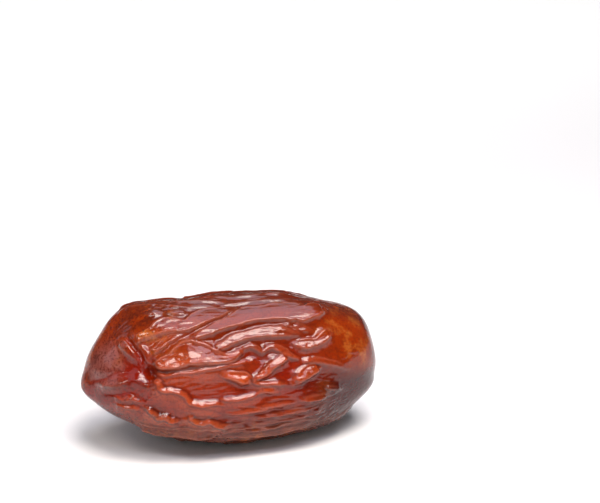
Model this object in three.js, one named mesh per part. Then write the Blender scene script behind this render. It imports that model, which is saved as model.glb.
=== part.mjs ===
// A pitted date of a large, soft kind, lying on its side: one solid, its skin and flesh together.
// Millimetres. X runs along the date with the nose at -X, -Y is its best side, +Z is up.
import * as THREE from 'three';
import { mergeVertices } from 'three/addons/utils/BufferGeometryUtils.js';

// Sizes of the smooth body, from its long axis
const halfLength = 24.6;
const halfDepth = 12.5;
const crownHeight = 14.1;
const bellyDepth = 9.6;
const noseLift = 0.85; // the nose lies this much above the middle, the blunt end as much below
const restCut = 0.35; // how much of the belly is pressed flat where the date rests

// How full each end is: 2 gives an ellipse, more gives a squarer end
const noseFullness = { crown: 2.9, side: 2.4, belly: 1.85 };
const endFullness = { crown: 3.9, side: 2.0, belly: 1.95 };
const endBlend = 0.6; // share of the half length over which one end's form passes into the other's

// Surface cells along the date and across each face of the box that the body grows from
const cellsAlong = 40;
const cellsAcross = 27;
const cellWidth = 0.7; // no fold edge falls faster than the cells can hold

// Broad lumps and hollows: x, degrees around (0 at the front, 90 at the crown), radius, height
const lumps = [
  { name: 'nose tip', at: [-24.6, 120], radius: 2.4, height: 0.9 },
  { name: 'crown corner by the nose', at: [-17.4, 108], radius: 4.0, height: 0.95 },
  { name: 'flattened end facet', at: [-22.5, 75], radius: 4.5, height: -1.4 },
  { name: 'slope under the nose', at: [-19.5, -45], radius: 7.0, height: -0.5 },
  { name: 'shoulder of the blunt end', at: [18.5, 95], radius: 5.0, height: -0.7 },
  { name: 'hollow beside the pitting mark', at: [-18.6, 37], radius: 2.8, height: -0.9 },
  { name: 'pucker of the pitting mark', at: [-15.5, 29], radius: 1.6, height: -1.1 },
  { name: 'small knob under the mark', at: [-17.8, 24], radius: 1.0, height: 0.6 },
];

// Folds of the loose skin on the best side. Each has its height, the width of its edge towards the
// crown (above) and away from it (below), the lengths over which its two tips fade, and the points
// of its middle line: x, degrees around, half width of its flat top.
const frontFolds = [
  { name: 'upper ridge', height: 0.75, above: 0.5, below: 0.5, fade: [0.3, 2],
    line: [[-16.8, 57, 0.5], [-14.7, 59.5, 0.6], [-11.8, 63, 1.15], [-8.8, 60, 1], [-5.8, 66, 1.3],
      [-2.7, 70, 1], [0.3, 74, 0.3]] },
  { name: 'short stripe', height: 0.55, above: 0.5, below: 0.5, fade: [0.4, 2.5],
    line: [[-14.9, 44, 0.4], [-13.6, 47.5, 0.55], [-11.9, 51.5, 0.55], [-10, 53.5, 0.35],
      [-8, 56, 0.15]] },
  { name: 'long ridge from the mark', height: 0.8, above: 0.9, below: 0.4, fade: [0.3, 1],
    line: [[-14.6, 34, 0.35], [-13.2, 34.5, 0.95], [-11.2, 36.5, 1.4], [-9.1, 39.5, 1.75],
      [-7, 38.3, 1.6], [-5, 35.7, 1], [-3, 34.5, 0.6], [-1.2, 36.5, 0.5], [-0.2, 39.5, 0.3]] },
  { name: 'curled lip', height: 0.4, above: 0.3, below: 0.4, fade: [0.3, 0.6],
    line: [[-4.6, 45.5, 0.15], [-5.8, 44.5, 0.2], [-7.2, 45.3, 0.25], [-8, 47.5, 0.25]] },
  { name: 'great ridge', height: 0.85, above: 0.45, below: 0.7, fade: [0.3, 0.8],
    line: [[-8, 48.5, 0.3], [-6.6, 51.5, 0.5], [-4.6, 54.5, 0.65], [-2.5, 58, 0.8], [-0.5, 61.5, 1.15],
      [1.5, 65.5, 1.5], [4, 66, 1.4], [7, 66.5, 1.6], [9.5, 66, 1.7], [11, 63.5, 1.1], [12.8, 67, 1.4],
      [14.6, 69.5, 0.7]] },
  { name: 'middle ridge', height: 0.75, above: 0.5, below: 0.7, fade: [0.4, 2.5],
    line: [[-4.8, 41, 0.3], [-3.4, 42.5, 0.45], [-1.4, 46.5, 0.6], [1.5, 49.5, 0.7], [4, 50.5, 0.75],
      [6.5, 50.5, 0.65], [9.5, 49, 0.35]] },
  { name: 'lip under the middle ridge', height: 0.4, above: 0.3, below: 0.6, fade: [0.4, 0.5],
    line: [[-4.8, 40, 0.2], [-3.6, 36.2, 0.22], [-2, 36, 0.25], [-1, 38, 0.3], [-0.2, 40, 0.2]] },
  { name: 'strand above the middle ridge', height: 0.5, above: 0.5, below: 0.6, fade: [1.5, 1.5],
    line: [[5, 51.5, 0.3], [7, 53.2, 0.45], [8.8, 51.8, 0.5], [10.4, 48.8, 0.2]] },
  { name: 'short strand', height: 0.45, above: 0.4, below: 0.5, fade: [0.8, 1.2],
    line: [[7.3, 57, 0.2], [9, 55.8, 0.4], [10.8, 53.8, 0.4], [12.2, 52, 0.15]] },
  { name: 'patch near the blunt end', height: 0.6, above: 0.5, below: 0.8, fade: [1.2, 0.5],
    line: [[9, 43, 0.5], [10.6, 42.5, 0.85], [12.4, 43.5, 0.6], [13.7, 47, 0.75], [14.7, 50, 0.6]] },
  { name: 'curl', height: 0.65, above: 0.4, below: 0.4, fade: [0.5, 1.5],
    line: [[-0.4, 39.5, 0.2], [1.3, 41.5, 0.35], [2.4, 39.3, 0.3], [3.1, 37.5, 0.25],
      [4.3, 40.8, 0.35], [5.6, 40, 0.45], [6.8, 37, 0.45], [7.8, 34.5, 0.35], [9.4, 32, 0.15]] },
  { name: 'hook', height: 0.75, above: 0.5, below: 0.7, fade: [0.5, 2],
    line: [[7, 34, 0.5], [5.6, 31, 0.6], [4.4, 28.5, 0.5], [3.4, 25, 0.45], [2.2, 22.3, 0.35],
      [1.3, 20, 0.25], [1.7, 17, 0.25], [3, 16, 0.25], [5, 16.2, 0.2], [6.6, 16, 0.1]] },
  { name: 'oval near the blunt end', height: 0.7, above: 1.1, below: 0.3, fade: [0.8, 0.4],
    line: [[7.9, 17, 0.5], [9.3, 20.5, 0.7], [10.8, 23.5, 0.85], [12, 26, 0.6]] },
  { name: 'strand over the oval', height: 0.55, above: 0.9, below: 0.35, fade: [1, 2.5],
    line: [[9.8, 30.5, 0.3], [12, 30.5, 0.5], [15, 27.5, 0.45], [18, 23, 0.15]] },
  { name: 'flat patch', height: 0.8, above: 1.5, below: 0.3, fade: [1, 0.8],
    line: [[-3.8, 24, 0.4], [-2, 22.5, 0.7], [-0.3, 20.5, 0.8], [0.7, 18.5, 0.4]] },
  { name: 'small flat patch', height: 0.6, above: 1.5, below: 0.4, fade: [1, 1],
    line: [[1.4, 11, 0.3], [3, 12, 0.5], [4.8, 10, 0.25]] },
  { name: 'broad step', height: 0.6, above: 0.35, below: 3, fade: [0.5, 3],
    line: [[-14.7, 28.5, 0.1], [-13.1, 26, 0.2], [-10.8, 28, 0.3], [-7.5, 29, 0.4], [-4, 30.5, 0.4],
      [-1.5, 31.5, 0.3], [1, 31, 0.1]] },
  { name: 'winding step', height: 0.75, above: 0.5, below: 2.2, fade: [0.6, 2],
    line: [[-15.2, 22, 0.1], [-14.3, 22, 0.2], [-13.6, 16, 0.2], [-12.2, 15.5, 0.2], [-10.6, 12, 0.2],
      [-9.4, 6, 0.2], [-7.5, 3.5, 0.2], [-5.5, 4.5, 0.2], [-4, 2.5, 0.1]] },
  { name: 'step past the winding one', height: 0.6, above: 0.5, below: 1.8, fade: [1, 1.5],
    line: [[-4.6, 7, 0.1], [-2.5, 7, 0.2], [0, 7.5, 0.2], [2.2, 10.5, 0.1]] },
  { name: 'low bulge', height: 0.95, above: 0.5, below: 2.2, fade: [0.5, 1.5],
    line: [[-16.4, -1, 0.1], [-15.4, -5, 0.2], [-14.5, -9.5, 0.25], [-13.5, -8, 0.25],
      [-12.6, -10.5, 0.25], [-11.2, -11.5, 0.2]] },
  { name: 'low bulge further on', height: 0.85, above: 0.5, below: 2, fade: [0.5, 1.5],
    line: [[-9.6, -3.5, 0.1], [-8.8, -9.5, 0.2], [-7.6, -12, 0.25], [-6.4, -10.5, 0.25],
      [-5, -14, 0.25], [-2.6, -19, 0.2]] },
  { name: 'small step by the nose', height: 0.5, above: 0.45, below: 1.5, fade: [0.5, 0.8],
    line: [[-21, 1, 0.1], [-19.6, -2, 0.2], [-18, -1.5, 0.2], [-17.2, -4, 0.1]] },
  { name: 'low strand', height: 0.6, above: 1.2, below: 0.4, fade: [1, 1.5],
    line: [[9.2, 3, 0.3], [11, 2.5, 0.5], [14, 2.2, 0.3]] },
  { name: 'crescent', height: 0.6, above: 1, below: 0.3, fade: [0.5, 0.8],
    line: [[14, 10.5, 0.3], [14.6, 7.5, 0.35], [16.5, 4.5, 0.2]] },
  { name: 'first long low wrinkle', height: 0.6, above: 1.5, below: 0.4, fade: [2, 2.5],
    line: [[-3.5, -4.5, 0.15], [1, -2.5, 0.25], [5, -0.5, 0.25], [8.2, 1, 0.15]] },
  { name: 'second long low wrinkle', height: 0.5, above: 1.4, below: 0.4, fade: [2, 3],
    line: [[1, -11, 0.15], [6, -8, 0.25], [12, -8, 0.15]] },
  { name: 'third long low wrinkle', height: 0.5, above: 1.4, below: 0.4, fade: [2, 3],
    line: [[0.5, -18.5, 0.15], [6, -16.5, 0.25], [12.5, -15, 0.15]] },
  { name: 'fourth long low wrinkle', height: 0.45, above: 1.2, below: 0.35, fade: [2, 3],
    line: [[-4, -25, 0.15], [1, -24, 0.25], [6, -23.5, 0.25], [11, -22, 0.1]] },
  { name: 'fifth long low wrinkle', height: 0.45, above: 1.2, below: 0.35, fade: [2, 3],
    line: [[3, -31, 0.15], [9, -29.5, 0.25], [14, -27, 0.1]] },
  { name: 'wrinkle between the low steps', height: 0.4, above: 0.6, below: 1, fade: [1, 1.5],
    line: [[-10.5, -1, 0.1], [-7.5, -3, 0.2], [-4.5, -6.5, 0.1]] },
  { name: 'high patch', height: 0.45, above: 0.4, below: 0.6, fade: [0.5, 1],
    line: [[-11.3, 76, 0.4], [-9.6, 73.5, 0.6], [-8, 71.5, 0.3]] },
  { name: 'high dab', height: 0.4, above: 0.4, below: 0.5, fade: [0.5, 0.6],
    line: [[-13.9, 80, 0.4], [-12.5, 77.5, 0.35]] },
  { name: 'lip beside the slit', height: 0.6, above: 0.5, below: 0.5, fade: [0.6, 1],
    line: [[-19.5, 63, 0.4], [-18.9, 56, 0.6], [-18, 47, 0.4], [-17.4, 42, 0.2]] },
  { name: 'ridge along the slit', height: 0.45, above: 0.5, below: 0.5, fade: [1, 0.5],
    line: [[-17.7, 66, 0.25], [-16.8, 56, 0.3], [-16, 45, 0.3], [-15.5, 35, 0.2]] },
  { name: 'wrinkle under the nose', height: 0.45, above: 0.5, below: 1, fade: [0.6, 0.6],
    line: [[-21.2, 9, 0.1], [-19.8, 6.5, 0.2], [-18.4, 8, 0.2], [-17, 5.5, 0.1]] },
  { name: 'fold from the nose', height: 0.4, above: 0.6, below: 0.8, fade: [1, 1.5],
    line: [[-23.2, 24, 0.2], [-21.4, 22, 0.3], [-19.6, 24, 0.2]] },
  { name: 'first crown strand', height: 0.4, above: 0.5, below: 0.7, fade: [1.5, 3],
    line: [[-17.5, 100, 0.3], [-13.4, 93, 0.45], [-8, 81, 0.4], [-2, 79, 0.25]] },
  { name: 'second crown strand', height: 0.4, above: 0.5, below: 0.7, fade: [2, 3],
    line: [[-14, 101, 0.3], [-9, 91, 0.4], [-3, 86, 0.4], [0.5, 84, 0.2]] },
  { name: 'third crown strand', height: 0.4, above: 0.5, below: 0.7, fade: [2, 3],
    line: [[-5, 94, 0.3], [1, 91, 0.4], [7, 92, 0.35], [10.5, 95, 0.2]] },
  { name: 'fourth crown strand', height: 0.4, above: 0.5, below: 0.7, fade: [2, 3],
    line: [[-2, 82, 0.25], [4, 82, 0.35], [11, 82, 0.2]] },
];

// Creases, which go down instead of up
const creases = [
  { name: 'slit of the pitting mark', height: 0.6, above: 0.25, below: 0.25, fade: [1.5, 0.4],
    line: [[-18.6, 66, 0.05], [-17.8, 57, 0.08], [-17, 47, 0.08], [-16.2, 38, 0.1], [-15.6, 30, 0.2],
      [-15.6, 24, 0.1]] },
  { name: 'crease at the nose', height: 0.35, above: 0.4, below: 0.4, fade: [0.8, 1.2],
    line: [[-24.3, 36, 0.1], [-22.8, 33, 0.1], [-20, 35, 0.1]] },
  { name: 'crease under the nose', height: 0.3, above: 0.4, below: 0.4, fade: [0.8, 0.8],
    line: [[-22.8, 9, 0.1], [-21, 11, 0.1], [-19, 15, 0.1]] },
];

// Folds of the back and the belly run the same way, in rows around the date, each drawn by a rule
const hiddenArc = [108, 338]; // degrees around
const hiddenRows = 20;
const hiddenReach = 19; // no fold starts or ends further out than this
const hiddenLength = [7, 17];
const hiddenHalfWidth = [0.35, 1.05];
const hiddenHeight = [0.25, 0.5];
const hiddenSlope = [-0.3, 0.9]; // degrees around for each millimetre along
const hiddenWander = 2.5; // degrees by which a fold's middle line strays
const hiddenPoints = 5;

// Every fold has a flat top, a rounded corner and a skirt that runs out into the furrow beside it
const foldStretch = 1.25; // of the heights above
const cornerRadius = 0.25;
const merging = 4; // a higher number keeps folds apart where they meet

// The folds hang, so that the lower edge of a top stands out most: its slope, and the degrees
// around up to which it is full and from which there is none
const sagSlope = 0.6;
const sagFull = 20;
const sagNone = 60;

// Slow swelling of the whole skin, as waves: height, then waves per millimetre along X, Y and Z
const swells = [
  { height: 0.12, wave: [0.33, 0.21, 0.4], start: 0.6 },
  { height: 0.1, wave: [-0.19, 0.52, 0.31], start: 2.1 },
  { height: 0.08, wave: [0.61, -0.34, 0.47], start: 4.0 },
];

const skinColour = '#8a2f17';
const skinRoughness = 0.35;

const curveSteps = 8; // pieces between two points of a fold's middle line
const tiny = 1e-6; // keeps a division safe

let seed = 11;

function draw([low, high]) {
  seed = (seed * 1664525 + 1013904223) % 4294967296;
  return low + ((high - low) * seed) / 4294967296;
}

function blend(from, to, value) {
  const share = THREE.MathUtils.clamp((value - from) / (to - from), 0, 1);
  return share * share * (3 - 2 * share);
}

// The fullness of the outline at a share of the half length and an angle around
function fullnessAt(share, angle) {
  const towardsEnd = blend(-endBlend, endBlend, share);
  const towardsCrown = blend(-1, 1, Math.sin(angle));
  const mix = (key) => THREE.MathUtils.lerp(noseFullness[key], endFullness[key], towardsEnd);
  const upright = THREE.MathUtils.lerp(mix('belly'), mix('crown'), towardsCrown);
  return THREE.MathUtils.lerp(mix('side'), upright, Math.sin(angle) ** 2);
}

function bodyHeight(angle) {
  return THREE.MathUtils.lerp(bellyDepth, crownHeight, blend(-1, 1, Math.sin(angle)));
}

function bodyPoint(share, girth, angle) {
  return new THREE.Vector3(
    halfLength * share,
    -halfDepth * girth * Math.cos(angle),
    bodyHeight(angle) * girth * Math.sin(angle) - noseLift * share,
  );
}

// The smooth body's point at x and an angle around in degrees
function bodyAt(x, degrees) {
  const share = THREE.MathUtils.clamp(x / halfLength, -1, 1);
  const angle = THREE.MathUtils.degToRad(degrees);
  const fullness = fullnessAt(share, angle);
  return bodyPoint(share, (1 - Math.abs(share) ** fullness) ** (1 / fullness), angle);
}

// The smooth body's point seen from its centre along a unit direction
function bodyTowards(direction) {
  const across = Math.hypot(direction.y, direction.z);
  const angle = Math.atan2(direction.z, -direction.y);
  const reach = (power) => (Math.abs(direction.x) ** power + across ** power) ** (-1 / power);
  const nearShare = direction.x * reach(noseFullness.side);
  const scale = reach(fullnessAt(nearShare, angle));
  return bodyPoint(direction.x * scale, across * scale, angle);
}

function outwardAt(point) {
  const height = bodyHeight(Math.atan2(point.z, -point.y));
  const outward = new THREE.Vector3(
    point.x / halfLength ** 2,
    point.y / halfDepth ** 2,
    point.z / height ** 2,
  );
  return outward.normalize();
}

// A fold's middle line as short straight pieces on the body, each point with its half width
function foldPath(fold) {
  const curve = new THREE.CatmullRomCurve3(
    fold.line.map(([x, degrees, halfWidth]) => new THREE.Vector3(x, degrees, halfWidth)),
    false,
    'catmullrom',
    0.5,
  );
  const steps = (fold.line.length - 1) * curveSteps;
  const points = curve.getPoints(steps).map((at) => ({ at: bodyAt(at.x, at.y), halfWidth: at.z }));
  let length = 0;
  points.forEach((point, index) => {
    length += index === 0 ? 0 : point.at.distanceTo(points[index - 1].at);
    point.along = length;
  });
  return { ...fold, points, length };
}

// How much a fold lifts the skin at a point of the smooth body
function foldLift(path, point, outward) {
  const angle = Math.atan2(point.z, -point.y);
  const sag = sagSlope * (1 - blend(sagFull, sagNone, THREE.MathUtils.radToDeg(Math.abs(angle))));
  let nearest = Infinity;
  let lift = 0;
  const piece = new THREE.Vector3();
  const away = new THREE.Vector3();
  for (let index = 1; index < path.points.length; index += 1) {
    const start = path.points[index - 1];
    const end = path.points[index];
    piece.subVectors(end.at, start.at);
    away.subVectors(point, start.at);
    const share = THREE.MathUtils.clamp(away.dot(piece) / piece.lengthSq(), 0, 1);
    away.addScaledVector(piece, -share);
    const distance = away.length();
    if (distance >= nearest) {
      continue;
    }
    nearest = distance;
    const aside = new THREE.Vector3().crossVectors(outward, piece).normalize();
    const towardsCrown = 0.5 + (0.5 * away.dot(aside)) / Math.max(distance, tiny);
    const edge = Math.max(THREE.MathUtils.lerp(path.below, path.above, towardsCrown), cellWidth);
    const halfWidth = THREE.MathUtils.lerp(start.halfWidth, end.halfWidth, share);
    const along = THREE.MathUtils.lerp(start.along, end.along, share);
    const fadeIn = blend(-path.fade[0], path.fade[0], along);
    const fadeOut = blend(-path.fade[1], path.fade[1], path.length - along);
    const outside = cornerRadius * Math.log1p(Math.exp((distance - halfWidth) / cornerRadius));
    const upwards = away.y * Math.sin(angle) + away.z * Math.cos(angle);
    const hang = -sag * THREE.MathUtils.clamp(upwards, -halfWidth, halfWidth);
    const top = Math.max(path.height * foldStretch + hang, 0);
    lift = top * fadeIn * fadeOut * Math.exp(-outside / edge);
  }
  return lift;
}

function hiddenFolds() {
  const folds = [];
  const [from, to] = hiddenArc;
  for (let row = 0; row < hiddenRows; row += 1) {
    const middle = from + ((row + 0.5) * (to - from)) / hiddenRows;
    let x = -hiddenReach + draw([0, 6]);
    while (x < hiddenReach - hiddenLength[0]) {
      const length = Math.min(draw(hiddenLength), hiddenReach - x);
      const slope = draw(hiddenSlope);
      const halfWidth = draw(hiddenHalfWidth);
      const height = draw(hiddenHeight);
      const line = [];
      for (let index = 0; index < hiddenPoints; index += 1) {
        const share = index / (hiddenPoints - 1);
        const stray = draw([-hiddenWander, hiddenWander]);
        const width = halfWidth * (0.35 + 0.65 * Math.sin(Math.PI * (0.15 + 0.7 * share)));
        line.push([x + length * share, middle + slope * length * (share - 0.5) + stray, width]);
      }
      folds.push({ height, above: 0.45, below: 0.9, fade: [0.5, 2.0], line });
      x += length + draw([-2, 1.5]);
    }
  }
  return folds;
}

function swellAt(point) {
  let height = 0;
  for (const swell of swells) {
    height += swell.height * Math.sin(point.dot(new THREE.Vector3(...swell.wave)) + swell.start);
  }
  return height;
}

function lumpLift(point) {
  let height = 0;
  for (const lump of lumps) {
    const distance = point.distanceTo(bodyAt(...lump.at));
    height += lump.height * Math.exp(-((distance / lump.radius) ** 2));
  }
  return height;
}

// A box's surface drawn onto a sphere, with its cells spread evenly by angle
function directionGrid() {
  const box = new THREE.BoxGeometry(2, 2, 2, cellsAlong, cellsAcross, cellsAcross);
  box.deleteAttribute('normal');
  box.deleteAttribute('uv');
  const grid = mergeVertices(box);
  const places = grid.getAttribute('position');
  for (let index = 0; index < places.count; index += 1) {
    const corner = new THREE.Vector3().fromBufferAttribute(places, index);
    const spread = corner.toArray().map((value) => Math.tan((value * Math.PI) / 4));
    const direction = new THREE.Vector3(...spread).normalize();
    places.setXYZ(index, ...direction.toArray());
  }
  return grid;
}

function makeDate() {
  const raised = [...frontFolds, ...hiddenFolds()].map(foldPath);
  const sunken = creases.map(foldPath);
  const geometry = directionGrid();
  const places = geometry.getAttribute('position');
  for (let index = 0; index < places.count; index += 1) {
    const direction = new THREE.Vector3().fromBufferAttribute(places, index);
    const point = bodyTowards(direction);
    const outward = outwardAt(point);
    const lifts = raised.map((path) => foldLift(path, point, outward) ** merging);
    const up = lifts.reduce((sum, lift) => sum + lift, 0) ** (1 / merging);
    const down = Math.max(...sunken.map((path) => foldLift(path, point, outward)));
    const lift = up - down + lumpLift(point) + swellAt(point);
    point.addScaledVector(outward, lift);
    places.setXYZ(index, ...point.toArray());
  }
  // The belly is pressed flat where it rests, and the origin is under the middle of the whole date
  geometry.computeBoundingBox();
  const { min, max } = geometry.boundingBox;
  geometry.translate(-(min.x + max.x) / 2, -(min.y + max.y) / 2, -(min.z + restCut));
  for (let index = 0; index < places.count; index += 1) {
    places.setZ(index, Math.max(places.getZ(index), 0));
  }
  geometry.computeVertexNormals();
  const skin = new THREE.MeshStandardMaterial({ color: skinColour, roughness: skinRoughness, metalness: 0 });
  const mesh = new THREE.Mesh(geometry, skin);
  mesh.name = 'date';
  return mesh;
}

const date = new THREE.Group();
date.add(makeDate());

export default date;
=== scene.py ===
import math
import bmesh
import bpy
import numpy as np
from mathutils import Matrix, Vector, noise


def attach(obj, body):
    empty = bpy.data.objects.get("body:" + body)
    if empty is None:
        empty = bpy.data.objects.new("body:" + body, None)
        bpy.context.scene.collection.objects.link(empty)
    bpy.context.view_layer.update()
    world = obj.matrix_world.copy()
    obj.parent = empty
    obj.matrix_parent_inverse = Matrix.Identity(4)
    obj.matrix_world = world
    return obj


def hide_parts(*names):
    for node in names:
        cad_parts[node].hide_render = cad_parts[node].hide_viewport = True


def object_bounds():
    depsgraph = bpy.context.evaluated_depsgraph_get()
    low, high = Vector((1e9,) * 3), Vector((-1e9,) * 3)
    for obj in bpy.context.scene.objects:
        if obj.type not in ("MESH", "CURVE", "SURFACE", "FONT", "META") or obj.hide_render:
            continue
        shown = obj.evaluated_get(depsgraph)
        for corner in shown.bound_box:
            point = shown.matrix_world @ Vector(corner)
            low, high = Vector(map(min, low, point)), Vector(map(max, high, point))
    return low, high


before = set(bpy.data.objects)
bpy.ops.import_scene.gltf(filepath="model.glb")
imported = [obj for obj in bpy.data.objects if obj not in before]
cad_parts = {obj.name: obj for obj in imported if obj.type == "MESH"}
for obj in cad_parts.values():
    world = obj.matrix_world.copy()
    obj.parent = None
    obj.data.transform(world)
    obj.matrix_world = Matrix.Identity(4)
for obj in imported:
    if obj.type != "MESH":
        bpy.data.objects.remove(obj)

mm = 0.001
cadBox = [list(corner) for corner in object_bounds()]
print("frame loaded", [round(high - low, 4) for low, high in zip(*cadBox)])

# The smooth body, measured from its long axis in mm. X runs from the nose to the blunt end.
body = {
    "halfLength": 24.6,
    "halfDepth": 12.5,
    "crownHeight": 14.1,
    "bellyDepth": 9.6,
    "noseLift": 0.85,
    "restCut": 0.35,  # how much of the belly is pressed flat
    "noseFullness": {"crown": 2.9, "side": 2.4, "belly": 1.85},  # 2 is an ellipse, more is squarer
    "endFullness": {"crown": 3.9, "side": 2.0, "belly": 1.95},
    "endBlend": 0.6,
    "cellsAlong": (70, 2),  # cut in two passes
    "cellsAcross": (59, 2),
}

# Broad lumps and hollows: x, degrees around (0 front, 90 crown), radius, height
lumps = [
    (-24.6, 120, 2.4, 0.9),  # nose tip
    (-17.4, 108, 4.0, 0.95),  # crown corner by the nose
    (-22.5, 75, 4.5, -1.4),  # flattened end facet
    (-19.5, -45, 7.0, -0.5),  # slope under the nose
    (18.5, 95, 5.0, -0.7),  # shoulder of the blunt end
    (-18.6, 37, 2.8, -0.9),  # hollow beside the pitting mark
    (-15.5, 29, 1.3, -1.3),  # pucker of the pitting mark
    (-17.8, 24, 1.0, 0.6),  # small knob under the mark
]

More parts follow.
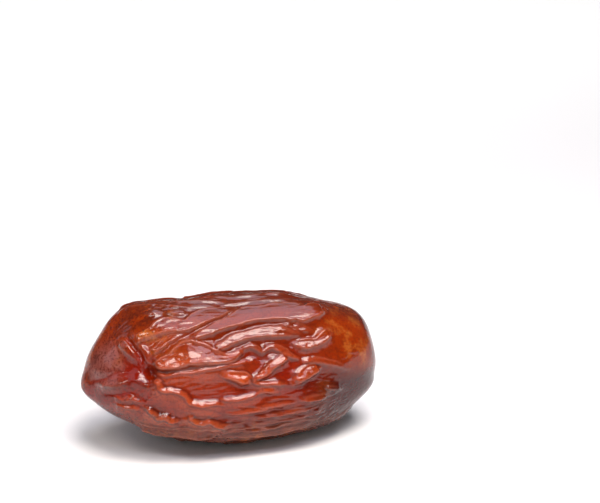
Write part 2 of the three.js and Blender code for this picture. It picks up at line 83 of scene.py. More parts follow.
# Folds on the best side: height, edge towards the crown, edge away from it, fades of the two tips,
# then the middle line as x, degrees around, half width of the flat top
frontFolds = {
    "upper ridge": (0.75, 0.5, 0.5, (0.3, 2.0), [
        (-16.8, 57, 0.5), (-14.7, 59.5, 0.6), (-11.8, 63, 1.15), (-8.8, 60, 1.0), (-5.8, 66, 1.3),
        (-2.7, 70, 1.0), (0.3, 74, 0.3)]),
    "short stripe": (0.55, 0.5, 0.5, (0.4, 2.5), [
        (-14.9, 44, 0.4), (-13.6, 47.5, 0.55), (-11.9, 51.5, 0.55), (-10, 53.5, 0.35), (-8, 56, 0.15)]),
    "long ridge from the mark": (0.8, 0.9, 0.4, (0.3, 1.0), [
        (-14.6, 34, 0.35), (-13.2, 34.5, 0.95), (-11.2, 36.5, 1.4), (-9.1, 39.5, 1.75), (-7, 38.3, 1.6),
        (-5, 35.7, 1.0), (-3, 34.5, 0.6), (-1.2, 36.5, 0.5), (-0.2, 39.5, 0.3)]),
    "curled lip": (0.4, 0.3, 0.4, (0.3, 0.6), [
        (-4.6, 45.5, 0.15), (-5.8, 44.5, 0.2), (-7.2, 45.3, 0.25), (-8, 47.5, 0.25)]),
    "great ridge": (0.85, 0.45, 0.7, (0.3, 0.8), [
        (-8, 48.5, 0.3), (-6.6, 51.5, 0.5), (-4.6, 54.5, 0.65), (-2.5, 58, 0.8), (-0.5, 61.5, 1.15),
        (1.5, 65.5, 1.5), (4, 66, 1.4), (7, 66.5, 1.6), (9.5, 66, 1.7), (11, 63.5, 1.1),
        (12.8, 67, 1.4), (14.6, 69.5, 0.7)]),
    "middle ridge": (0.75, 0.5, 0.7, (0.4, 2.5), [
        (-4.8, 41, 0.3), (-3.4, 42.5, 0.45), (-1.4, 46.5, 0.6), (1.5, 49.5, 0.7), (4, 50.5, 0.75),
        (6.5, 50.5, 0.65), (9.5, 49, 0.35)]),
    "lip under the middle ridge": (0.4, 0.3, 0.6, (0.4, 0.5), [
        (-4.8, 40, 0.2), (-3.6, 36.2, 0.22), (-2, 36, 0.25), (-1, 38, 0.3), (-0.2, 40, 0.2)]),
    "strand above the middle ridge": (0.5, 0.5, 0.6, (1.5, 1.5), [
        (5, 51.5, 0.3), (7, 53.2, 0.45), (8.8, 51.8, 0.5), (10.4, 48.8, 0.2)]),
    "short strand": (0.45, 0.4, 0.5, (0.8, 1.2), [
        (7.3, 57, 0.2), (9, 55.8, 0.4), (10.8, 53.8, 0.4), (12.2, 52, 0.15)]),
    "patch near the blunt end": (0.6, 0.5, 0.8, (1.2, 0.5), [
        (9, 43, 0.5), (10.6, 42.5, 0.85), (12.4, 43.5, 0.6), (13.7, 47, 0.75), (14.7, 50, 0.6)]),
    "curl": (0.65, 0.4, 0.4, (0.5, 1.5), [
        (-0.4, 39.5, 0.2), (1.3, 41.5, 0.35), (2.4, 39.3, 0.3), (3.1, 37.5, 0.25), (4.3, 40.8, 0.35),
        (5.6, 40, 0.45), (6.8, 37, 0.45), (7.8, 34.5, 0.35), (9.4, 32, 0.15)]),
    "hook": (0.75, 0.5, 0.7, (0.5, 2.0), [
        (7, 34, 0.5), (5.6, 31, 0.6), (4.4, 28.5, 0.5), (3.4, 25, 0.45), (2.2, 22.3, 0.35),
        (1.3, 20, 0.25), (1.7, 17, 0.25), (3, 16, 0.25), (5, 16.2, 0.2), (6.6, 16, 0.1)]),
    "oval near the blunt end": (0.7, 1.1, 0.3, (0.8, 0.4), [
        (7.9, 17, 0.5), (9.3, 20.5, 0.7), (10.8, 23.5, 0.85), (12, 26, 0.6)]),
    "strand over the oval": (0.55, 0.9, 0.35, (1.0, 2.5), [
        (9.8, 30.5, 0.3), (12, 30.5, 0.5), (15, 27.5, 0.45), (18, 23, 0.15)]),
    "flat patch": (0.8, 1.5, 0.3, (1.0, 0.8), [
        (-3.8, 24, 0.4), (-2, 22.5, 0.7), (-0.3, 20.5, 0.8), (0.7, 18.5, 0.4)]),
    "small flat patch": (0.6, 1.5, 0.4, (1.0, 1.0), [
        (1.4, 11, 0.3), (3, 12, 0.5), (4.8, 10, 0.25)]),
    "broad step": (0.6, 0.35, 3.0, (0.5, 3.0), [
        (-14.7, 28.5, 0.1), (-13.1, 26, 0.2), (-10.8, 28, 0.3), (-7.5, 29, 0.4), (-4, 30.5, 0.4),
        (-1.5, 31.5, 0.3), (1, 31, 0.1)]),
    "winding step": (0.75, 0.5, 2.2, (0.6, 2.0), [
        (-15.2, 22, 0.1), (-14.3, 22, 0.2), (-13.6, 16, 0.2), (-12.2, 15.5, 0.2), (-10.6, 12, 0.2),
        (-9.4, 6, 0.2), (-7.5, 3.5, 0.2), (-5.5, 4.5, 0.2), (-4, 2.5, 0.1)]),
    "step past the winding one": (0.6, 0.5, 1.8, (1.0, 1.5), [
        (-4.6, 7, 0.1), (-2.5, 7, 0.2), (0, 7.5, 0.2), (2.2, 10.5, 0.1)]),
    "low bulge": (0.95, 0.5, 2.2, (0.5, 1.5), [
        (-16.4, -1, 0.1), (-15.4, -5, 0.2), (-14.5, -9.5, 0.25), (-13.5, -8, 0.25), (-12.6, -10.5, 0.25),
        (-11.2, -11.5, 0.2)]),
    "low bulge further on": (0.85, 0.5, 2.0, (0.5, 1.5), [
        (-9.6, -3.5, 0.1), (-8.8, -9.5, 0.2), (-7.6, -12, 0.25), (-6.4, -10.5, 0.25), (-5, -14, 0.25),
        (-2.6, -19, 0.2)]),
    "small step by the nose": (0.5, 0.45, 1.5, (0.5, 0.8), [
        (-21, 1, 0.1), (-19.6, -2, 0.2), (-18, -1.5, 0.2), (-17.2, -4, 0.1)]),
    "low strand": (0.6, 1.2, 0.4, (1.0, 1.5), [
        (9.2, 3, 0.3), (11, 2.5, 0.5), (14, 2.2, 0.3)]),
    "crescent": (0.6, 1.0, 0.3, (0.5, 0.8), [
        (14, 10.5, 0.3), (14.6, 7.5, 0.35), (16.5, 4.5, 0.2)]),
    "first long low wrinkle": (0.6, 1.5, 0.4, (2.0, 2.5), [
        (-3.5, -4.5, 0.15), (1, -2.5, 0.25), (5, -0.5, 0.25), (8.2, 1, 0.15)]),
    "second long low wrinkle": (0.5, 1.4, 0.4, (2.0, 3.0), [
        (1, -11, 0.15), (6, -8, 0.25), (12, -8, 0.15)]),
    "third long low wrinkle": (0.5, 1.4, 0.4, (2.0, 3.0), [
        (0.5, -18.5, 0.15), (6, -16.5, 0.25), (12.5, -15, 0.15)]),
    "fourth long low wrinkle": (0.45, 1.2, 0.35, (2.0, 3.0), [
        (-4, -25, 0.15), (1, -24, 0.25), (6, -23.5, 0.25), (11, -22, 0.1)]),
    "fifth long low wrinkle": (0.45, 1.2, 0.35, (2.0, 3.0), [
        (3, -31, 0.15), (9, -29.5, 0.25), (14, -27, 0.1)]),
    "wrinkle between the low steps": (0.4, 0.6, 1.0, (1.0, 1.5), [
        (-10.5, -1, 0.1), (-7.5, -3, 0.2), (-4.5, -6.5, 0.1)]),
    "high patch": (0.45, 0.4, 0.6, (0.5, 1.0), [
        (-11.3, 76, 0.4), (-9.6, 73.5, 0.6), (-8, 71.5, 0.3)]),
    "high dab": (0.4, 0.4, 0.5, (0.5, 0.6), [
        (-13.9, 80, 0.4), (-12.5, 77.5, 0.35)]),
    "lip beside the slit": (0.6, 0.5, 0.5, (0.6, 1.0), [
        (-19.5, 63, 0.4), (-18.9, 56, 0.6), (-18, 47, 0.4), (-17.4, 42, 0.2)]),
    "ridge along the slit": (0.45, 0.5, 0.5, (1.0, 0.5), [
        (-17.7, 66, 0.25), (-16.8, 56, 0.3), (-16.0, 45, 0.3), (-15.5, 35, 0.2)]),
    "wrinkle under the nose": (0.45, 0.5, 1.0, (0.6, 0.6), [
        (-21.2, 9, 0.1), (-19.8, 6.5, 0.2), (-18.4, 8, 0.2), (-17, 5.5, 0.1)]),
    "fold from the nose": (0.4, 0.6, 0.8, (1.0, 1.5), [
        (-23.2, 24, 0.2), (-21.4, 22, 0.3), (-19.6, 24, 0.2)]),
    "first crown strand": (0.4, 0.5, 0.7, (1.5, 3.0), [
        (-17.5, 100, 0.3), (-13.4, 93, 0.45), (-8, 81, 0.4), (-2, 79, 0.25)]),
    "second crown strand": (0.4, 0.5, 0.7, (2.0, 3.0), [
        (-14, 101, 0.3), (-9, 91, 0.4), (-3, 86, 0.4), (0.5, 84, 0.2)]),
    "third crown strand": (0.4, 0.5, 0.7, (2.0, 3.0), [
        (-5, 94, 0.3), (1, 91, 0.4), (7, 92, 0.35), (10.5, 95, 0.2)]),
    "fourth crown strand": (0.4, 0.5, 0.7, (2.0, 3.0), [
        (-2, 82, 0.25), (4, 82, 0.35), (11, 82, 0.2)]),
}

# Creases, in the same way with depth for height
creases = {
    "slit of the pitting mark": (0.6, 0.25, 0.25, (1.5, 0.4), [
        (-18.6, 66, 0.05), (-17.8, 57, 0.08), (-17, 47, 0.08), (-16.2, 38, 0.1), (-15.6, 30, 0.2),
        (-15.6, 24, 0.1)]),
    "crease at the nose": (0.35, 0.4, 0.4, (0.8, 1.2), [
        (-24.3, 36, 0.1), (-22.8, 33, 0.1), (-20, 35, 0.1)]),
    "crease under the nose": (0.3, 0.4, 0.4, (0.8, 0.8), [
        (-22.8, 9, 0.1), (-21, 11, 0.1), (-19, 15, 0.1)]),
}

# Folds of the back and the belly, drawn by rule in rows around the date
hidden = {
    "arc": (108, 338),
    "rows": 20,
    "reach": 19,
    "length": (7, 17),
    "halfWidth": (0.35, 1.05),
    "height": (0.25, 0.5),
    "slope": (-0.3, 0.9),  # degrees around for each mm along
    "wander": 2.5,
    "points": 5,
    "tipWidth": 0.35,  # share of the half width left at the tips
    "swelling": (0.15, 0.7),  # part of a half wave over which a fold swells
    "edges": (0.45, 0.9),
    "fades": (0.5, 2.0),
    "firstGap": (0, 6),
    "gap": (-2, 1.5),
}

# Slow swelling of the skin: height, then waves per mm along X, Y and Z, and where the wave starts
swells = [
    (0.12, (0.33, 0.21, 0.4), 0.6),
    (0.1, (-0.19, 0.52, 0.31), 2.1),
    (0.08, (0.61, -0.34, 0.47), 4.0),
]

# The rolled rim round each fold's flat top, and how the skin falls away from it
lip = {
    "height": 0.24,
    "width": 0.2,
    "fullFrom": 0.8,  # half width from which a fold has the full rim
    "corner": 0.16,  # rounding where the skin starts to fall
    "reach": 4,  # edge widths after which a fold lifts nothing
    "tall": 1.25,  # stretches every fold's height
    "footShade": (0.34, 0.2),  # how far outside the flat top the line of painted shade in the furrow lies, and its width
    "merging": 4,  # higher keeps folds apart where they meet
    "sag": 0.6,  # slope of a flat top that hangs, its lower edge standing out
    "sagFades": (20, 60),  # degrees from the front, full sag and none
}

# Finer relief of the skin: waves per mm across, the share of that along, and mm high
crinkles = {
    "strays": [(0.45, 0.7, 0.3), (1.6, 0.7, 0.14)],  # how far the folds' edges stray
    "straySeed": 7,  # makes them stray the same way each run
    "wrinkles": [(0.8, 0.2, 0.42), (2.0, 0.15, 0.34)],
    "calm": (0.3, 0.33),  # share of each wrinkle left on the smoother skin
    "middle": 0.25,  # noise at which a wrinkle neither lifts nor sinks
    "crown": (0.965, 0.995),  # wrinkled crown, where crownward is none and full
    "crownShare": 0.35,
    "belly": (0.1, -0.3),
    "ends": (0.8, 0.5),  # no wrinkles past the first share of the length, full under the second
}

# Where the skin's tints and its painted shade and shadow lie, none and full. Crownward goes from -1 on the
# belly to 1 on the crown, and along from -1 at the nose to 1 at the blunt end
tints = {
    "amberEnd": (0.35, 0.8),
    "amberNose": (-0.1, -0.7),
    "amberUp": (0.6, 0.9),
    # painted shade on the side turned up
    "upper": (0.4, 0.85),
    # the crown's browner skin, made darker still as painted shade
    "crown": (0.88, 0.99),
    "crownNose": (-0.55, -0.85),  # the crown's tint fades out here
    "dryCrown": (0.94, 1, 0.15),  # and how dry
    "dryBelly": (-0.5, -1, 0.5),
    # the belly's browner skin, made darker still as painted shade on the underside
    "belly": (0.1, -0.75),
    "fleckNose": (-0.4, -0.8, 0.4),
    "fleckBelly": (0, -0.7, 0.4),
    "fleckAll": 0.3,
    # painted shadow on the lower blunt end and its tip
    "paintedShadowEnd": (0.25, 0.7),
    "paintedShadowDown": (0.6, 0.05),
    "paintedShadowTip": (0.85, 1, 0.6),
}

# Round tints and a painted sheen: x, degrees around, radius
patches = {
    "markShare": (-17.8, 36, 2.7),  # deep red skin round the pitting mark
    "facetSheenShare": (-22.8, 50, 4.4),  # painted sheen: the facet above the nose tinted mauve, like a reflection of the overhead light
}

curveSteps = 8  # points on a fold's middle line from one given point to the next
seed = 11  # of the hidden folds


def draw(low, high):
    global seed
    seed = (seed * 1664525 + 1013904223) % 4294967296
    return low + (high - low) * seed / 4294967296


def ease(start, end, value):
    share = np.clip((value - start) / (end - start), 0, 1)
    return share * share * (3 - 2 * share)


def lerp(start, end, share):
    return start + (end - start) * share


def fullnessAt(share, angle):
    towardsEnd = ease(-body["endBlend"], body["endBlend"], share)
    towardsCrown = ease(-1, 1, np.sin(angle))
    crown, side, belly = (
        lerp(body["noseFullness"][key], body["endFullness"][key], towardsEnd)
        for key in ("crown", "side", "belly"))
    return lerp(side, lerp(belly, crown, towardsCrown), np.sin(angle) ** 2)


def bodyHeight(angle):
    return lerp(body["bellyDepth"], body["crownHeight"], ease(-1, 1, np.sin(angle)))


def bodyPoint(share, girth, angle):
    return np.stack([
        body["halfLength"] * share,
        -body["halfDepth"] * girth * np.cos(angle),
        bodyHeight(angle) * girth * np.sin(angle) - body["noseLift"] * share,
    ], -1)


# The smooth body's points at x and an angle around in degrees
def bodyAt(x, degrees):
    share = np.clip(np.asarray(x, float) / body["halfLength"], -1, 1)
    angle = np.radians(np.asarray(degrees, float))
    fullness = fullnessAt(share, angle)
    return bodyPoint(share, (1 - np.abs(share) ** fullness) ** (1 / fullness), angle)


# The smooth body's points seen from its centre along unit directions
def bodyTowards(directions):
    along = directions[:, 0]
    across = np.hypot(directions[:, 1], directions[:, 2])
    angle = np.arctan2(directions[:, 2], -directions[:, 1])

    def reach(power):
        return (np.abs(along) ** power + across ** power) ** (-1 / power)

    scale = reach(fullnessAt(along * reach(body["noseFullness"]["side"]), angle))
    return bodyPoint(along * scale, across * scale, angle)


# The smooth body's outward directions
def outwardAt(points):
    height = bodyHeight(np.arctan2(points[:, 2], -points[:, 1]))
    outward = points / np.stack([
        np.full(len(points), body["halfLength"] ** 2),
        np.full(len(points), body["halfDepth"] ** 2),
        height ** 2,
    ], -1)
    return outward / np.linalg.norm(outward, axis=1, keepdims=True)


# A fold's middle line as a smooth run of points: where, half width, length so far
def foldPath(line):
    given = np.array(line, float)
    given = np.vstack([2 * given[0] - given[1], given, 2 * given[-1] - given[-2]])
    run = []
    for index in range(1, len(given) - 2):
        a, b, c, d = given[index - 1:index + 3]
        for share in np.arange(curveSteps) / curveSteps:
            run.append(0.5 * (2 * b + (c - a) * share + (2 * a - 5 * b + 4 * c - d) * share ** 2
                              + (3 * b - a - 3 * c + d) * share ** 3))
    run.append(given[-2])
    run = np.array(run)
    where = bodyAt(run[:, 0], run[:, 1])
    steps = np.linalg.norm(np.diff(where, axis=0), axis=1)
    return where, run[:, 2], np.concatenate([[0], np.cumsum(steps)])


# How far a fold lifts the skin in mm, and the shares of its rolled rim, which also places a painted
# highlight, and of the painted shade line at its foot
def foldLift(fold, points, outward):
    height, above, below, fade, line = fold
    where, halfWidths, lengths = foldPath(line)
    length = lengths[-1]
    lift, rimAndPaintedHighlight, footShade = np.zeros((3, len(points)))
    room = halfWidths.max() + lip["reach"] * max(above, below)
    near = np.all((points > where.min(0) - room) & (points < where.max(0) + room), axis=1).nonzero()[0]
    spot = points[near]
    nearest = np.full(len(near), np.inf)
    found = np.zeros((4, len(near)))
    angle = np.arctan2(spot[:, 2], -spot[:, 1])
    for index in range(1, len(where)):
        piece = where[index] - where[index - 1]
        away = spot - where[index - 1]
        share = np.clip(away @ piece / (piece @ piece), 0, 1)
        away = away - share[:, None] * piece
        distance = np.linalg.norm(away, axis=1)
        aside = np.cross(outward[near], piece)
        aside /= np.linalg.norm(aside, axis=1, keepdims=True)
        towardsCrown = 0.5 + 0.5 * (away * aside).sum(1) / np.maximum(distance, 1e-6)
        closer = distance < nearest
        nearest = np.where(closer, distance, nearest)
        values = (towardsCrown, lerp(halfWidths[index - 1], halfWidths[index], share),
                  lerp(lengths[index - 1], lengths[index], share),
                  away[:, 1] * np.sin(angle) + away[:, 2] * np.cos(angle))
        for row, value in enumerate(values):
            found[row] = np.where(closer, value, found[row])
    towardsCrown, halfWidth, along, upwards = found
    edge = lerp(below, above, towardsCrown)
    fades = ease(-fade[0], fade[0], along) * ease(-fade[1], fade[1], length - along)
    fromEdge = nearest - halfWidth
    outside = lip["corner"] * np.logaddexp(0, fromEdge / lip["corner"])
    slope = lip["sag"] * (1 - ease(*lip["sagFades"], np.degrees(np.abs(angle))))
    hang = slope * np.clip(-upwards, -halfWidth, halfWidth)
    lift[near] = np.maximum(height * lip["tall"] + hang, 0) * fades * np.exp(-outside / edge)
    # the rolled rim's share, which also places the painted highlight
    rimAndPaintedHighlight[near] = fades * np.exp(-(fromEdge / lip["width"]) ** 2) * np.minimum(halfWidth / lip["fullFrom"], 1)
    footShadePlace, footShadeWidth = lip["footShade"]
    # painted shade: a line just outside each fold's flat top, in the furrow
    footShade[near] = fades * height * np.exp(-((fromEdge - footShadePlace) / footShadeWidth) ** 2)
    return lift, rimAndPaintedHighlight, footShade


def hiddenFolds():
    folds = []
    start, end = hidden["arc"]
    swellFrom, swellOver = hidden["swelling"]
    for row in range(hidden["rows"]):
        middle = start + (row + 0.5) * (end - start) / hidden["rows"]
        x = -hidden["reach"] + draw(*hidden["firstGap"])
        while x < hidden["reach"] - hidden["length"][0]:
            length = min(draw(*hidden["length"]), hidden["reach"] - x)
            slope = draw(*hidden["slope"])
            halfWidth = draw(*hidden["halfWidth"])
            height = draw(*hidden["height"])
            line = []
            for index in range(hidden["points"]):
                share = index / (hidden["points"] - 1)
                stray = draw(-hidden["wander"], hidden["wander"])
                swelling = math.sin(math.pi * (swellFrom + swellOver * share))
                width = halfWidth * lerp(hidden["tipWidth"], 1, swelling)
                line.append((x + length * share, middle + slope * length * (share - 0.5) + stray, width))
            folds.append((height, *hidden["edges"], hidden["fades"], line))
            x += length + draw(*hidden["gap"])
    return folds


def clearSelection():
    if bpy.context.object and bpy.context.object.mode == "EDIT":
        bpy.ops.object.mode_set(mode="OBJECT")
    bpy.ops.object.select_all(action="DESELECT")


# A cube cut into fine cells along X and across, the start of the skin
def cutCube():
    clearSelection()
    bpy.ops.mesh.primitive_cube_add(size=2, location=(0, 0, 0))
    cube = bpy.context.object
    bpy.ops.object.mode_set(mode="EDIT")
    bpy.ops.mesh.select_mode(type="EDGE")
    for axis, passes in ((0, body["cellsAlong"]), (1, body["cellsAcross"]), (2, body["cellsAcross"])):
        for cells in passes:
            edges = bmesh.from_edit_mesh(cube.data)
            bpy.ops.mesh.select_all(action="DESELECT")
            for edge in edges.edges:
                run = edge.verts[1].co - edge.verts[0].co
                edge.select = abs(run[axis]) > 0.99 * run.length
            bmesh.update_edit_mesh(cube.data)
            bpy.ops.mesh.subdivide(number_cuts=cells - 1)
    bpy.ops.object.mode_set(mode="OBJECT")
    return cube


def addAttribute(mesh, name, values):
    layer = mesh.attributes.new(name, "FLOAT", "POINT")
    layer.data.foreach_set("value", np.ascontiguousarray(values, np.float32))


# All folds together: how far they lift the skin, their rims, which also place a painted highlight, the
# painted shade at their feet, and how deep the creases are
def foldedSkin(points, outward):
    noise.seed_set(crinkles["straySeed"])
    strayed = points.copy()
    for across, share, height in crinkles["strays"]:
        strayed += height * np.array([noise.noise_vector(spot) for spot in points * across * (share, 1, 1)])
    raised, rimAndPaintedHighlight, footShade, sunken = np.zeros((4, len(points)))
    for fold in list(frontFolds.values()) + hiddenFolds():
        foldRaised, foldRimAndPaintedHighlight, foldFootShade = foldLift(fold, strayed, outward)
        rimAndPaintedHighlight = np.maximum(rimAndPaintedHighlight, foldRimAndPaintedHighlight)
        footShade = np.maximum(footShade, foldFootShade)
        raised += foldRaised ** lip["merging"]
    raised = raised ** (1 / lip["merging"])
    for fold in creases.values():
        sunken = np.maximum(sunken, foldLift(fold, strayed, outward)[0])
    return raised, rimAndPaintedHighlight, footShade, sunken


# Adds wrinkles, lumps and slow swelling to what the folds lift, in mm
def addRelief(lift, points, outward, crownward, along):
    wrinkled = np.maximum(crinkles["crownShare"] * ease(*crinkles["crown"], crownward),
                          ease(*crinkles["belly"], crownward))
    wrinkled = wrinkled * ease(*crinkles["ends"], np.abs(along))
    awayFromTips = (1 - outward[:, 0] ** 2) ** 2
    for (across, share, height), calm in zip(crinkles["wrinkles"], crinkles["calm"]):
        wrinkle = np.abs([noise.noise(spot) for spot in points * across * (share, 1, 1)])
        lift += height * lerp(calm, 1, wrinkled) * (wrinkle - crinkles["middle"]) * awayFromTips
    for x, degrees, radius, height in lumps:
        distance = np.linalg.norm(points - bodyAt(x, degrees), axis=1)
        lift += height * np.exp(-(distance / radius) ** 2)
    for height, wave, start in swells:
        lift += height * np.sin(points @ np.array(wave) + start)
    return lift


# The way to the date's place: over the middle of the CAD solid, sunk until the belly is pressed flat
def wayToRest(points):
    low, high = points.min(0), points.max(0)
    middle = [(cadBox[0][axis] + cadBox[1][axis]) / 2 / mm for axis in range(2)]
    return np.array([
        middle[0] - (low[0] + high[0]) / 2,
        middle[1] - (low[1] + high[1]) / 2,
        -(low[2] + body["restCut"]),
    ])


# Strength of each tint, painted shade, painted shadow and painted sheen at each point
def tintShares(points, crownward, along):
    def zone(name, value):
        none, full, *strength = tints[name]
        return (strength[0] if strength else 1) * ease(none, full, value)

    amberNose = zone("amberNose", along) * zone("amberUp", crownward)
    # painted shadow on the lower blunt end
    paintedShadowEnd = zone("paintedShadowEnd", along) * zone("paintedShadowDown", crownward)
    shares = {
        "amberShare": np.maximum(zone("amberEnd", along), amberNose),
        # painted shade on the side turned up
        "upperShadeShare": zone("upper", crownward),
        "crownShare": zone("crown", crownward) * (1 - zone("crownNose", along)),
        "dryShare": np.maximum(zone("dryCrown", crownward), zone("dryBelly", crownward)),
        "bellyShare": zone("belly", crownward),
        "fleckShare": tints["fleckAll"] + zone("fleckNose", along) + zone("fleckBelly", crownward),
        "paintedShadowShare": np.maximum(paintedShadowEnd, zone("paintedShadowTip", along)),
    }
    for name, (x, degrees, radius) in patches.items():
        distance = np.linalg.norm(points - bodyAt(x, degrees), axis=1)
        shares[name] = np.exp(-(distance / radius) ** 4)
    return shares


def makeDate():
    date = cutCube()
    date.name = "date_skin"
    mesh = date.data
    corners = np.zeros(len(mesh.vertices) * 3)
    mesh.vertices.foreach_get("co", corners)
    spread = np.tan(corners.reshape(-1, 3) * math.pi / 4)  # evens out the cells once the cube is round
    smooth = bodyTowards(spread / np.linalg.norm(spread, axis=1, keepdims=True))
    outward = outwardAt(smooth)
    crownward = np.sin(np.arctan2(smooth[:, 2], -smooth[:, 1]))
    along = smooth[:, 0] / body["halfLength"]
    raised, rimAndPaintedHighlight, footShade, sunken = foldedSkin(smooth, outward)
    lift = addRelief(raised + lip["height"] * rimAndPaintedHighlight - sunken, smooth, outward, crownward, along)
    points = smooth + outward * lift[:, None]
    shift = wayToRest(points)
    points = points + shift
    points[:, 2] = np.maximum(points[:, 2], 0)
    mesh.vertices.foreach_set("co", (points * mm).ravel())
    shares = {"raised": raised, "rimAndPaintedHighlight": rimAndPaintedHighlight, "footShade": footShade, "sunken": sunken}
    shares.update(tintShares(smooth, crownward, along))
    for name, values in shares.items():
        addAttribute(mesh, name, values)
    mesh.update()
    clearSelection()
    date.select_set(True)
    bpy.context.view_layer.objects.active = date
    bpy.ops.object.shade_smooth()
    return date, shift


date, axisPlace = makeDate()
print("skin made", len(date.data.polygons), "faces")


# An sRGB hex colour as linear values
def paint(hexColour):
    parts = [int(hexColour[place:place + 2], 16) / 255 for place in (1, 3, 5)]
    linear = [part / 12.92 if part <= 0.04045 else ((part + 0.055) / 1.055) ** 2.4 for part in parts]
    return (*linear, 1.0)


# Adds a node with its settings, input values and links
def addNode(tree, kind, settings=None, values=None, links=None):
    node = tree.nodes.new(kind)
    for name, value in (settings or {}).items():
        setattr(node, name, value)
    for name, value in (values or {}).items():
        node.inputs[name].default_value = value
    for name, source in (links or {}).items():
        tree.links.new(source, node.inputs[name])
    return node


dateSkin = {
    # base colour of the furrows, a deeper red that is partly the skin's own tone and partly painted shade
    "furrow": "#740e00",
    "top": "#a44018",
    # painted shade: a near-black red line at the foot of each fold, in the furrow
    "footShade": "#4a0500",
    "mark": "#741202",
    # painted sheen: mauve on the facet above the nose
    "facetSheen": "#7e443c",
    "fleck": "#3e1206",  # brown specks, thicker at the nose and the belly
    "upper": "#6a1c02",  # painted shade: the side turned up, darker
    "amber": "#842800",
    "bloom": "#a4581e",  # dry sugary spots
    # the crown's browner, strand-broken skin, made darker still as painted shade
    "crown": "#581a06",
    # the belly's browner skin, made darker still as painted shade on the underside
    "belly": "#481a08",
    # painted shadow: near-black red on the lower blunt end and its tip
    "paintedShadow": "#3a0300",
    # painted highlight: a pale line along the rolled rims of the folds
    "rimAndPaintedHighlight": "#d08468",
    "crease": "#801600",
    "roughness": 0.05,
    "blotchRoughness": 0.12,  # added where the blotches are
    "dryRoughness": 0.35,  # added on the drier crown and belly
    "ior": 1.45,
    "glow": 0.15,  # how much light wanders through the flesh
    "glowDepth": 1.2,  # this and the widths and depths below are in mm
    "glowColours": (1.0, 0.25, 0.1),  # red goes deepest
    "blotchWidth": 3.846,  # darker and sugary patches
    "strandWidth": 0.7143,  # across, drawn coarse enough to show
    "strandStretch": 0.3,  # share of the waves left along the date
    "grainWidth": 0.4167,  # pores, drawn coarse enough to show
    "strandsDepth": 0.04,
    "grainDepth": 0.03,
    "bumpStrength": 0.5,
}

# Each tint, and each painted shade, shadow, sheen and highlight, laid over the ones before it: its colour,
# the attribute that places it and the value where it is full, and for a patchy one the pattern that breaks
# it up with the pattern's values for none and full
skinLayers = [
    # lighter raised tops over the furrows: partly the skin's own tone, partly painted shade left in the
    # furrows
    ("top", "raised", 1.2),
    # painted shade line at the foot of each fold
    ("footShade", "footShade", 1.0),
    # painted shade, darker on the side turned up
    ("upper", "upperShadeShare", 1.3),
    ("amber", "amberShare", 1.0),
    ("bloom", "amberShare", 1.2, "blotches", 0.5, 0.7),
    # browner crown skin, darkened further as painted shade
    ("crown", "crownShare", 1.0, "strands", 0.2, 0.55),
    # browner belly skin, darkened further as painted shade on the underside
    ("belly", "bellyShare", 1.0),
    ("bloom", "bellyShare", 1.8, "blotches", 0.5, 0.7),
    # painted shadow on the lower blunt end and its tip
    ("paintedShadow", "paintedShadowShare", 1.0),
    # painted sheen on the facet above the nose
    ("facetSheen", "facetSheenShare", 1.2),
    ("fleck", "fleckShare", 1.0, "grain", 0.48, 0.62),
    ("fleck", "fleckShare", 1.5, "blotches", 0.5, 0.36),
    ("mark", "markShare", 1.1),
    # painted highlight along the rolled rims
    ("rimAndPaintedHighlight", "rimAndPaintedHighlight", 6.0),
    ("crease", "sunken", 0.7),
]

skinPatterns = {  # whether stretched along the date, width of one cell, detail
    "blotches": (False, dateSkin["blotchWidth"], 4),
    "strands": (True, dateSkin["strandWidth"], 3),
    "grain": (False, dateSkin["grainWidth"], 4),
}


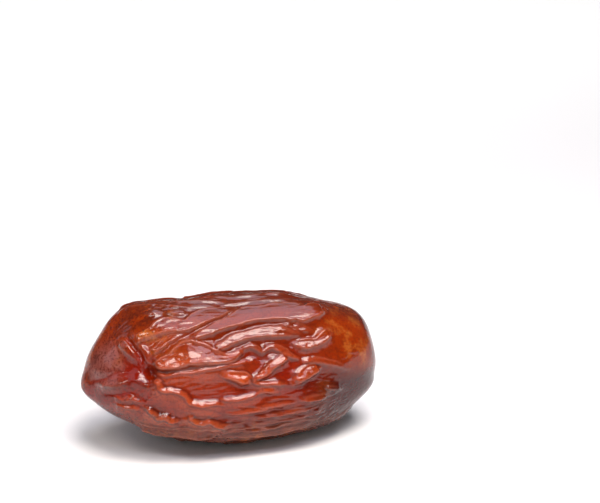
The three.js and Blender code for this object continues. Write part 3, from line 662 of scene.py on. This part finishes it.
# Date skin: a thin waxy sugar-rich film over soft amber flesh, so it's glossy, deep red and glows a little
def makeDateSkin():
    material = bpy.data.materials.new("date skin, soft and waxy")
    material.use_nodes = True
    tree = material.node_tree
    tree.nodes.clear()
    place = addNode(tree, "ShaderNodeTexCoord").outputs["Object"]
    stretched = addNode(tree, "ShaderNodeMapping", None, {"Scale": (dateSkin["strandStretch"], 1.0, 1.0)},
                        {"Vector": place}).outputs["Vector"]
    patterns = {}
    for name, (isStretched, width, detail) in skinPatterns.items():
        patterns[name] = addNode(tree, "ShaderNodeTexNoise", None,
                                 {"Scale": 1 / (width * mm), "Detail": detail, "Roughness": 0.6},
                                 {"Vector": stretched if isStretched else place}).outputs["Fac"]

    colour = addNode(tree, "ShaderNodeRGB").outputs["Color"]
    colour.default_value = paint(dateSkin["furrow"])
    for tint, attribute, full, *patchy in skinLayers:
        share = addNode(tree, "ShaderNodeAttribute", {"attribute_name": attribute}).outputs["Fac"]
        share = addNode(tree, "ShaderNodeMapRange", None, {"From Max": full},
                        {"Value": share}).outputs["Result"]
        if patchy:
            pattern, none, most = patchy
            broken = addNode(tree, "ShaderNodeMapRange", {"interpolation_type": "SMOOTHSTEP"},
                             {"From Min": none, "From Max": most}, {"Value": patterns[pattern]})
            share = addNode(tree, "ShaderNodeMath", {"operation": "MULTIPLY"}, None,
                            {0: share, 1: broken.outputs["Result"]}).outputs["Value"]
        colour = addNode(tree, "ShaderNodeMix", {"data_type": "RGBA"}, {"B": paint(dateSkin[tint])},
                         {"A": colour, "Factor": share}).outputs["Result"]

    links = {}
    for pattern in ("grain", "strands"):
        links["Height"] = patterns[pattern]
        values = {"Strength": dateSkin["bumpStrength"], "Distance": dateSkin[pattern + "Depth"] * mm}
        links["Normal"] = addNode(tree, "ShaderNodeBump", None, values, links).outputs["Normal"]
    dry = addNode(tree, "ShaderNodeAttribute", {"attribute_name": "dryShare"}).outputs["Fac"]
    dry = addNode(tree, "ShaderNodeMath", {"operation": "MULTIPLY_ADD"},
                  {1: dateSkin["dryRoughness"], 2: dateSkin["roughness"]}, {0: dry}).outputs["Value"]
    roughness = addNode(tree, "ShaderNodeMath", {"operation": "MULTIPLY_ADD"},
                        {1: dateSkin["blotchRoughness"]}, {0: patterns["blotches"], 2: dry}).outputs["Value"]
    shader = addNode(tree, "ShaderNodeBsdfPrincipled", None, {
        "IOR": dateSkin["ior"],
        "Subsurface Weight": dateSkin["glow"],
        "Subsurface Radius": dateSkin["glowColours"],
        "Subsurface Scale": dateSkin["glowDepth"] * mm,
    }, {"Base Color": colour, "Normal": links["Normal"], "Roughness": roughness})
    addNode(tree, "ShaderNodeOutputMaterial", None, None, {"Surface": shader.outputs["BSDF"]})
    print("skin material made", len(tree.nodes), "nodes")
    return material


date.data.materials.append(makeDateSkin())
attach(date, "root")
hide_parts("date")

# The photo's view, in degrees and mm
cameraView = {
    "azimuth": -14,
    "elevation": 20,
    "distance": 450,
    "mmPerPixel": 0.168,
    "photoSize": (600, 503),
    "middlePixel": (230.9, 377.5),  # where the date's long axis has its middle in the photo
    "sensor": 36,
    "nearest": 10,
}


def makeCamera():
    azimuth, elevation = (math.radians(cameraView[key]) for key in ("azimuth", "elevation"))
    level = math.cos(elevation)
    back = Vector((math.sin(azimuth) * level, -math.cos(azimuth) * level, math.sin(elevation)))
    right = Vector((0, 0, 1)).cross(back).normalized()
    up = back.cross(right)
    width, height = cameraView["photoSize"]
    toRight = (width / 2 - cameraView["middlePixel"][0]) * cameraView["mmPerPixel"]
    upwards = (cameraView["middlePixel"][1] - height / 2) * cameraView["mmPerPixel"]
    place = Vector(axisPlace) + back * cameraView["distance"] + right * toRight + up * upwards
    lens = cameraView["sensor"] * cameraView["distance"] / (width * cameraView["mmPerPixel"])
    bpy.ops.object.camera_add(location=place * mm, rotation=back.to_track_quat("Z", "Y").to_euler())
    camera = bpy.context.object
    camera.data.lens = lens
    camera.data.sensor_width = cameraView["sensor"]
    camera.data.clip_start = cameraView["nearest"] * mm
    bpy.context.scene.camera = camera


# Softboxes, facing down unless turned. Place and size are in mm, and brightness 1 is that of white paper
lights = {
    "overhead softbox": {"place": (47, 30, 260), "size": (170, 150), "brightness": 3.6, "colour": "#e8eaff"},
    "key light": {"place": (40, -92, 260), "size": (170, 90), "brightness": 18.0, "colour": "#fff6f0"},
    "upper strip": {"place": (47, 120, 250), "size": (170, 12), "brightness": 4.0, "colour": "#fff3ea"},
    "left key": {"place": (-150, -92, 230), "size": (120, 40), "brightness": 14.0, "colour": "#fff6f0"},
    "front softbox": {"place": (40, -200, 260), "size": (170, 100), "brightness": 6.0, "colour": "#eeeeff"},
    "left panel": {"place": (-300, 40, 220), "size": (200, 300), "brightness": 1.0, "colour": "#f0eeff",
                   "turn": (0, -55)},
    "floor wash": {"place": (40, 460, 260), "size": (900, 600), "brightness": 0.75, "colour": "#ffffff",
                   "spread": 60},  # a grid keeps it off the date
    "front fill": {"place": (-180, -420, 200), "size": (500, 220), "brightness": 0.9, "colour": "#ffffff",
                   "turn": (60, 0)},
}


def makeLights():
    for name, light in lights.items():
        turn = [math.radians(degrees) for degrees in light.get("turn", (0, 0))]
        bpy.ops.object.light_add(type="AREA", location=Vector(light["place"]) * mm, rotation=(*turn, 0))
        lamp = bpy.context.object
        lamp.name = name
        lamp.visible_camera = False
        lamp.data.shape = "RECTANGLE"
        lamp.data.size, lamp.data.size_y = (side * mm for side in light["size"])
        lamp.data.energy = light["brightness"] * math.pi * lamp.data.size * lamp.data.size_y
        lamp.data.spread = math.radians(light.get("spread", 180))
        lamp.data.color = paint(light["colour"])[:3]


studio = {
    "paper": "#f4f4f2",
    "paperRoughness": 0.8,
    "paperSize": 6000,
    "air": "#ffffff",
    "airStrength": 0.1,  # faint light from everywhere
}


# White studio paper: uncoated card, so it's matt and shows soft shadows
def makeFloor():
    clearSelection()
    bpy.ops.mesh.primitive_plane_add(size=studio["paperSize"] * mm, location=(0, 0, 0))
    floor = bpy.context.object
    floor.name = "studio_floor"
    material = bpy.data.materials.new("white studio paper")
    material.use_nodes = True
    shader = material.node_tree.nodes["Principled BSDF"]
    shader.inputs["Base Color"].default_value = paint(studio["paper"])
    shader.inputs["Roughness"].default_value = studio["paperRoughness"]
    floor.data.materials.append(material)


def makeWorld():
    world = bpy.data.worlds.new("studio")
    world.use_nodes = True
    bpy.context.scene.world = world
    background = world.node_tree.nodes["Background"]
    background.inputs["Color"].default_value = paint(studio["air"])
    background.inputs["Strength"].default_value = studio["airStrength"]
    bpy.context.scene.view_settings.view_transform = "Standard"


makeCamera()
makeLights()
makeFloor()
makeWorld()
print("camera, lights and floor placed")
